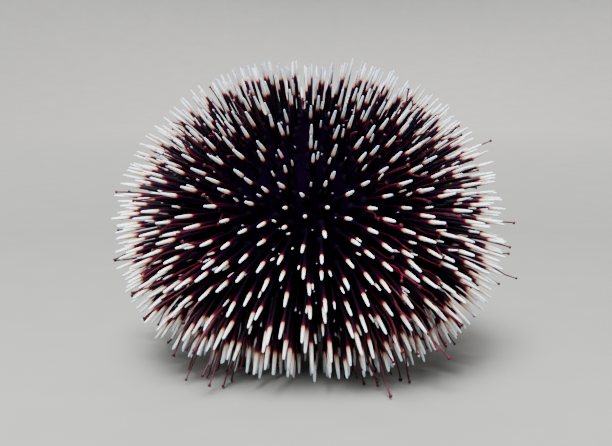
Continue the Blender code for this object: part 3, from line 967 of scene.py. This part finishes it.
def pincers():
    """Thin stalks with a bud at the end, standing between the spines."""
    chance = np.random.default_rng(PINCER_SEED)
    angles, turns = between_roots(PINCER_KEPT, chance, 0.25, 0.5)
    place, normal, along, around = surface_frame(angles, turns)
    count = len(angles)
    direction = lean(normal, along, around, *random_leans(count, PINCER_LEAN, chance))
    length = floor_limited(place, direction, chance.uniform(*PINCER_LENGTHS, count), FLOOR_CLEARANCE)
    radius = PINCER_RADIUS * chance.uniform(*PINCER_WIDTHS, count)
    points = straight_tubes(
        place, direction, length, radius, PINCER_ALONG, PINCER_WIDTH, PINCER_SIDES, np.zeros(count)
    )
    mesh = grid_mesh("pincers", points)
    shaft_map(mesh, np.tile(np.maximum(PINCER_ALONG, 0), (count, 1)), PINCER_SIDES)
    patch_map(mesh, points.shape, unrolled(angles, turns), SHORT_PATCH)
    return dress("pincers", mesh, pincer_finish(), "wide_sector")


pincers()

# %% [markdown]
# Tube feet
#
# The narrow sectors bear the tube feet: thin, wine-red, wavy stalks that end in a sucker disc. They
# reach out past the spines, more of them low on the body, where they hold the animal to the ground.
# Bevelled curves would do for a few, but hundreds are quicker as one array. A foot is a tube along a
# curved path: straight out along the normal, plus a sway that grows towards the end and a sag that
# grows with the square of the distance. Its red is darkened towards the root by painted shade from
# the coat, except low on the body, where the real ones show red all the way.


# %% Tubes along curved paths
def bent_tubes(centres, across, side_radius, other_radius, sides):
    """Corner points of tubes along centres (count, rings, 3): an oval square to the path at each ring."""
    tangent = np.gradient(centres, axis=1)
    tangent /= np.linalg.norm(tangent, axis=2, keepdims=True)
    across = across[:, None]
    side = across - tangent * np.sum(across * tangent, axis=2, keepdims=True)
    side /= np.linalg.norm(side, axis=2, keepdims=True)
    other = np.cross(tangent, side)
    turn = np.arange(sides) / sides * math.tau
    cosine, sine = np.cos(turn)[None, None, :, None], np.sin(turn)[None, None, :, None]
    oval = side[:, :, None] * cosine * side_radius[..., None, None]
    oval = oval + other[:, :, None] * sine * other_radius[..., None, None]
    return centres[:, :, None] + oval


# %% Tube feet: sizes and finish
FOOT_SIDES = 5
FOOT_ALONG = np.concatenate([np.linspace(-0.06, 0.965, 9), [0.975, 0.99, 1.0]])
FOOT_WIDTH = np.concatenate([np.linspace(1.25, 0.85, 9), [1.30, 1.90, 1.25]])
FOOT_RADIUS = 0.35 * MM
FOOT_PATCH = 0.02
FOOT_FLOOR = 1.0 * MM
FOOT_SHADES = [(0.3, (0.010, 0.0003, 0.003)), (0.7, (0.058, 0.0012, 0.008))]
# Painted shade: the feet are darker where they lie deeper in the coat of spines
FOOT_PAINTED_SHADE = [(0.12, (1.0, 1.0, 1.0)), (0.60, (0.20, 0.20, 0.26))]
PAINTED_SHADE_AT_WIDEST = 0.5


def foot_finish():
    """Wine red in darker and lighter stretches, deeper with the depth in the coat, and a fine grain."""
    finish = Finish("tube_foot", 0.4, 0.15)
    red = finish.ramp(FOOT_SHADES, finish.noise(260.0, 2.0))
    # Painted shade of the coat, darkening the red towards the root
    painted_coat_shade = finish.ramp(FOOT_PAINTED_SHADE, finish.attribute("depth"))
    finish.colour(finish.mix(1.0, red, painted_coat_shade, "MULTIPLY"))
    finish.bump(finish.noise(3000.0), 0.5, 0.06 * MM)
    return finish


def foot_mesh(name, points, angles):
    """The mesh of feet from their corner points, with the depth in the coat for the finish.

    Depth, which sets how strong the painted shade of the coat is, is the share of the foot from its
    tip, times a half plus the sine of its angle on the shell, so the low feet keep their red all the way.
    """
    mesh = grid_mesh(name, points)
    # How strong the painted shade is: none low on the body, growing up the shell
    weight = np.clip(PAINTED_SHADE_AT_WIDEST + np.sin(angles), 0, 1)
    depth = weight[:, None] * (1 - np.maximum(FOOT_ALONG, 0))
    add_shade(mesh, "depth", np.repeat(depth, FOOT_SIDES, axis=1))
    return mesh


# %% Long tube feet
NARROW_MIDDLES = FIRST_WIDE_MIDDLE + (np.arange(SECTOR_COUNT) + 0.5) * FIFTH
LONG_FOOT_ANGLES = (20, 6, -8, -21, -34, -48)
FOOT_ANGLE_SPREAD = 2
FOOT_BEYOND_SPINES = 5 * MM
FOOT_BEYOND_SPREAD = 2.5 * MM
FOOT_SAG = 3 * MM
FOOT_SWAY = 1.2 * MM
LEAST_SWAY = 0.4
SWAY_TURN = 4
FOOT_LIFT = 1.6 * MM


def long_feet():
    """Centre lines of the feet that reach past the spines: normal * length * s, sway and sag."""
    s = np.maximum(FOOT_ALONG, 0)[None, :]
    lines, rounds, roots = [], [], []
    for middle, chance in zip(NARROW_MIDDLES, NARROW_CHANCES):
        count = len(LONG_FOOT_ANGLES)
        spread = chance.uniform(-FOOT_ANGLE_SPREAD, FOOT_ANGLE_SPREAD, count)
        angles = np.radians(LONG_FOOT_ANGLES + spread)
        beyond = FOOT_BEYOND_SPINES + chance.uniform(-FOOT_BEYOND_SPREAD, FOOT_BEYOND_SPREAD, count)
        side = np.where(np.arange(count) % 2, 1, -1)
        sway = side * FOOT_SWAY * chance.uniform(LEAST_SWAY, 1, count)
        turns = middle + side * NARROW_HALF_ANGLE / 2
        place, normal, _, around = surface_frame(angles, turns)
        length = floor_limited(place, normal, length_at(angles) + beyond, FOOT_LIFT)
        sag = np.minimum(FOOT_SAG, place[:, 2] + normal[:, 2] * length - FOOT_LIFT)
        centres = place[:, None] + normal[:, None] * (length[:, None] * FOOT_ALONG)[..., None]
        centres = centres + around[:, None] * (sway[:, None] * np.sin(SWAY_TURN * s))[..., None]
        centres[..., 2] -= sag[:, None] * s**2
        lines.append(centres)
        rounds.append(around)
        roots.append(np.stack([angles, turns]))
    return np.concatenate(lines), np.concatenate(rounds), np.concatenate(roots, axis=1)


# %% Tube feet among the spines
FEET_PER_SIDE = 30
FOOT_REACH = (0.62, 1.38)
LOW_REACH = 0.26
HIGH_REACH = 0.40
LOW_CROWDING = 1.3
FOOT_STEP = 0.03
FOOT_COLUMNS = (0.45, 0.8)
WAVE_SIZE = 2.4 * MM
WAVE_SHARES = (0.3, 1.0)
WAVE_TURNS = (2.5, 6.5)
FOOT_DROOP = 4.0 * MM
DROOP_SHARES = (0.2, 1.0)
FOOT_LOWEST = math.radians(-62)
FOOT_HIGHEST = math.radians(50)
FOOT_SEED = 350


def other_feet():
    """Centre lines of two rows up each narrow sector: normal * length * s, two waves and a droop.

    A foot's length is a random share of the spines' there, raised below the widest ring and cut
    above it by the sine of its angle, so the longest feet are the low ones.
    """
    chance = np.random.default_rng(FOOT_SEED)
    steps = (np.arange(FEET_PER_SIDE) + 0.5) / FEET_PER_SIDE
    even = FOOT_LOWEST + (FOOT_HIGHEST - FOOT_LOWEST) * steps**LOW_CROWDING
    angles, turns = [], []
    for middle in NARROW_MIDDLES:
        for side in (-1, 1):
            angles.append(even + chance.uniform(-FOOT_STEP, FOOT_STEP, FEET_PER_SIDE))
            columns = chance.uniform(*FOOT_COLUMNS, FEET_PER_SIDE)
            turns.append(middle + side * NARROW_HALF_ANGLE * columns)
    angles, turns = np.concatenate(angles), np.concatenate(turns)
    count = len(angles)
    place, normal, along, around = surface_frame(angles, turns)
    reach = chance.uniform(*FOOT_REACH, count)
    reach = reach - np.where(angles > 0, HIGH_REACH, LOW_REACH) * np.sin(angles)
    length = floor_limited(place, normal, length_at(angles) * reach, FOOT_FLOOR + FLOOR_CLEARANCE)
    s = FOOT_ALONG[None, :]
    waves = chance.uniform(*WAVE_TURNS, (2, count, 1))
    phases = chance.uniform(0, math.tau, (2, count, 1))
    sizes = WAVE_SIZE * chance.uniform(*WAVE_SHARES, (2, count, 1))
    sway = sizes * s * np.sin(waves * s + phases)
    centres = place[:, None] + normal[:, None] * (length[:, None] * s)[..., None]
    centres = centres + around[:, None] * sway[0][..., None] + along[:, None] * sway[1][..., None]
    centres[..., 2] -= FOOT_DROOP * chance.uniform(*DROOP_SHARES, (count, 1)) * np.maximum(s, 0) ** 2
    return centres, around, np.stack([angles, turns])


# %% Grow the tube feet
FOOT_THICKNESSES = (0.85, 1.15)
FOOT_THICKNESS_SEED = 360


def tube_feet():
    """Long and other feet in one piece, kept off the floor."""
    parts = zip(long_feet(), other_feet())
    centres, around, roots = [np.concatenate(pair, axis=axis) for pair, axis in zip(parts, (0, 0, 1))]
    centres[..., 2] = np.maximum(centres[..., 2], FOOT_FLOOR)
    chance = np.random.default_rng(FOOT_THICKNESS_SEED)
    radius = FOOT_RADIUS * chance.uniform(*FOOT_THICKNESSES, (len(centres), 1)) * FOOT_WIDTH
    points = bent_tubes(centres, around, radius, radius, FOOT_SIDES)
    mesh = foot_mesh("tube_feet", points, roots[0])
    patch_map(mesh, points.shape, unrolled(*roots), FOOT_PATCH)
    return dress("tube_feet", mesh, FOOT_FINISH, "narrow_sector")


FOOT_FINISH = foot_finish()
tube_feet()

# %% [markdown]
# The bare shell
#
# Between the spines the shell is nearly black: its own dark violet, deepened by painted shade from
# the coat. It is one skin over all ten sectors, so no seam shows between them. Its plates could be
# left to bump like the rest, but then the mesh by itself would be blank, so shallow furrows mark
# them. Only the fine grain of knobs is left to bump.

# %% Shell skin
SKIN_TURNS = 320
SKIN_ROWS = 150
SKIN_INSET = 0.25 * MM
PLATE_FURROW = 0.18 * MM
PLATE_HEIGHT = 4.7 * MM
ROW_SHARPNESS = 12
SEAM_SHARPNESS = 60


def shell_skin():
    """The shell turned through a full circle, its plates parted by shallow cosine furrows."""
    arcs = np.linspace(MOUTH_ARC, PROFILE_ARCS[-1], SKIN_ROWS)
    turns = np.arange(SKIN_TURNS) / SKIN_TURNS * math.tau
    arc, turn = np.meshgrid(arcs, turns, indexing="ij")
    place, normal, _, _ = surface_frame(angle_at_arc(arc), turn)
    rows = np.abs(np.cos(math.pi * arc / PLATE_HEIGHT + SECTOR_COUNT * turn)) ** ROW_SHARPNESS
    seams = np.abs(np.cos(SECTOR_COUNT * (turn - FIRST_WIDE_MIDDLE))) ** SEAM_SHARPNESS
    depth = SKIN_INSET + PLATE_FURROW * np.maximum(rows, seams)
    return place - normal * depth[..., None]


# The shell's own dark violet, deepened to near black as painted shade under the spines
SKIN_VIOLET_AND_PAINTED_SHADE = [(0.3, (0.0002, 0.00002, 0.0006)), (0.7, (0.0011, 0.0001, 0.0020))]


def skin_finish():
    """Black violet in broad darker and lighter patches, and a grain of small knobs as bump."""
    finish = Finish("shell", 0.7, 0.0)
    finish.colour(finish.ramp(SKIN_VIOLET_AND_PAINTED_SHADE, finish.noise(60.0, 4.0)))
    knobs = finish.node("ShaderNodeTexVoronoi", Scale=900.0)
    finish.link(finish.node("ShaderNodeTexCoord").outputs["Object"], knobs.inputs["Vector"])
    finish.bump(knobs.outputs["Distance"], 0.6, 0.25 * MM)
    return finish


SKIN_MESH = grid_mesh("shell", shell_skin()[None])
dress("shell", SKIN_MESH, skin_finish(), "wide_sector", *SECTOR_NODES, "apical_disc")

# %% [markdown]
# The mouth
#
# Underneath, a soft disc closes the shell. It swells in ring-shaped folds to thick lips, and ten short
# feet in pairs stand on it. Five pale teeth, worked by the lantern of jaws inside, close to a point in
# the middle. A Screw modifier could turn the disc's profile, but not fold it, so the profile is turned
# as an array, with the folds as waves across and round it.

# %% Mouth disc
MOUTH_EDGE_HEIGHT = float(np.interp(MOUTH_ARC, PROFILE_ARCS, PROFILE_HEIGHTS))
LIP_DROP = 1.6 * MM
LIP_RADIUS = 7 * MM
WELL_RADIUS = 4.7 * MM
WELL_DEPTH = 5.3 * MM
MOUTH_DEPTH = 8 * MM
MOUTH_TURNS = 180
FOLD_COUNT = 30
FOLD_HEIGHT = 0.22 * MM
RING_FOLDS = 5
RING_FOLD_HEIGHT = 0.18 * MM
FOLD_FADE = 2 * MM
RIM_STEPS = 26
LIP_STEPS = 10
LIP_ROUNDNESS = 0.7
POLE_RADIUS = 0.02 * MM
MOUTH_SHADES = [(0.3, (0.045, 0.008, 0.018)), (0.7, (0.16, 0.035, 0.055))]


def mouth_disc():
    """The profile from a flat hidden back over the rim and lips into the well, turned with waves.

    Low ring folds are a sine wave across the rim, and a cosine wave round the disc folds the lips.
    """
    rim = np.linspace(0, 1, RIM_STEPS)
    radius = MOUTH_RADIUS + (LIP_RADIUS - MOUTH_RADIUS) * rim
    height = MOUTH_EDGE_HEIGHT - LIP_DROP * np.sin(rim * math.pi / 2)
    height += RING_FOLD_HEIGHT * np.sin(rim * RING_FOLDS * math.tau) * np.sin(rim * math.pi)
    lip_turn = np.linspace(0, math.pi / 2, LIP_STEPS)[1:]
    lip_reach = LIP_RADIUS - WELL_RADIUS
    radius = np.append(radius, LIP_RADIUS - lip_reach * np.sin(lip_turn))
    height = np.append(height, MOUTH_EDGE_HEIGHT - LIP_DROP * np.cos(lip_turn) ** LIP_ROUNDNESS)
    radius = np.append(radius, [WELL_RADIUS, POLE_RADIUS])
    height = np.append(height, [MOUTH_EDGE_HEIGHT + WELL_DEPTH] * 2)
    radius = np.concatenate([[POLE_RADIUS, MOUTH_RADIUS], radius])
    height = np.concatenate([[MOUTH_EDGE_HEIGHT + MOUTH_DEPTH] * 2, height])
    turn = np.arange(MOUTH_TURNS) / MOUTH_TURNS * math.tau
    folded = np.clip((radius - WELL_RADIUS) / (LIP_RADIUS - WELL_RADIUS), 0, 1)
    folded = folded * np.clip((MOUTH_RADIUS - radius) / FOLD_FADE, 0, 1)
    fold = np.cos(FOLD_COUNT * turn)[None] * (FOLD_HEIGHT * folded)[:, None]
    points = np.stack(
        [radius[:, None] * np.cos(turn), radius[:, None] * np.sin(turn), height[:, None] + fold], axis=-1
    )
    return points + AXIS


# Wine-red skin, mottled, with a leathery grain as bump
MOUTH_FINISH = mottled("mouth_skin", 0.5, 0.45, MOUTH_SHADES, (220.0, 5.0), (1400.0, 4.0, 0.5, 0.15 * MM))
MOUTH_MESH = grid_mesh("mouth_disc", mouth_disc()[None])
dress("mouth_disc", MOUTH_MESH, MOUTH_FINISH, "mouth_membrane", "peristome")

# %% Feet of the mouth
MOUTH_FOOT_RADIUS = 10.5 * MM
MOUTH_FOOT_SPREAD = math.radians(9)
MOUTH_FOOT_LENGTH = 6.5 * MM
MOUTH_FOOT_LEAN = math.radians(11)
MOUTH_FOOT_WIDTH = 1.3


def mouth_feet():
    """Ten short feet in five pairs, leaning outwards from the lips."""
    turns = np.concatenate([NARROW_MIDDLES - MOUTH_FOOT_SPREAD, NARROW_MIDDLES + MOUTH_FOOT_SPREAD])
    out, around = round_vectors(turns)
    share = (MOUTH_RADIUS - MOUTH_FOOT_RADIUS) / (MOUTH_RADIUS - LIP_RADIUS)
    height = MOUTH_EDGE_HEIGHT - LIP_DROP * math.sin(share * math.pi / 2)
    place = AXIS + out * MOUTH_FOOT_RADIUS + UP * height
    down = out * math.sin(MOUTH_FOOT_LEAN) - UP * math.cos(MOUTH_FOOT_LEAN)
    centres = place[:, None] + down[:, None] * (MOUTH_FOOT_LENGTH * FOOT_ALONG)[None, :, None]
    radius = np.tile(FOOT_RADIUS * MOUTH_FOOT_WIDTH * FOOT_WIDTH, (len(turns), 1))
    points = bent_tubes(centres, around, radius, radius, FOOT_SIDES)
    mesh = foot_mesh("mouth_feet", points, np.full(len(turns), -math.pi / 2))
    return dress("mouth_feet", mesh, FOOT_FINISH, "mouth_membrane")


mouth_feet()

# %% Teeth
TEETH_ALONG = np.linspace(0, 1, 14)
TOOTH_SIDES = 12
TEETH_RISE = 5.0 * MM
TEETH_BELOW_LIPS = 2.6 * MM
TEETH_TOP = MOUTH_EDGE_HEIGHT + TEETH_RISE
TEETH_BOTTOM = MOUTH_EDGE_HEIGHT - LIP_DROP - TEETH_BELOW_LIPS
TOOTH_HALF_WIDTH = 1.55 * MM
TOOTH_HALF_DEPTH = 0.85 * MM
TOOTH_ROOT_REACH = 2.9 * MM
TOOTH_TIP_REACH = 0.45 * MM
TOOTH_CURVE = 0.8
TAPER_PLACES = (0, 0.5, 0.9, 1)
TAPER_SHARES = (1, 0.9, 0.45, 0.25)
TOOTH_SHADES = [(0.3, (0.62, 0.52, 0.36)), (0.7, (0.80, 0.76, 0.66))]
# Ivory, mottled with a yellower shade, with a fine grain as bump
TOOTH_FINISH = mottled("tooth", 0.3, 0.5, TOOTH_SHADES, (400.0, 3.0), (2200.0, 2.0, 0.3, 0.05 * MM))


def teeth():
    """Five curved prisms: each leans in by a cosine so that the points meet, and narrows to a chisel."""
    out, around = round_vectors(FIRST_WIDE_MIDDLE + np.arange(SECTOR_COUNT) * FIFTH)
    reach = TOOTH_ROOT_REACH * np.cos(TEETH_ALONG * math.pi / 2) ** TOOTH_CURVE + TOOTH_TIP_REACH
    height = TEETH_TOP + (TEETH_BOTTOM - TEETH_TOP) * TEETH_ALONG
    centres = AXIS + out[:, None] * reach[None, :, None] + UP * height[None, :, None]
    taper = np.interp(TEETH_ALONG, TAPER_PLACES, TAPER_SHARES)
    wide = np.tile(TOOTH_HALF_WIDTH * taper, (SECTOR_COUNT, 1))
    deep = np.tile(TOOTH_HALF_DEPTH * taper, (SECTOR_COUNT, 1))
    points = bent_tubes(centres, around, wide, deep, TOOTH_SIDES)
    nodes = [f"tooth_{number + 1}" for number in range(SECTOR_COUNT)]
    return dress("teeth", grid_mesh("teeth", points), TOOTH_FINISH, "tooth", *nodes)


teeth()
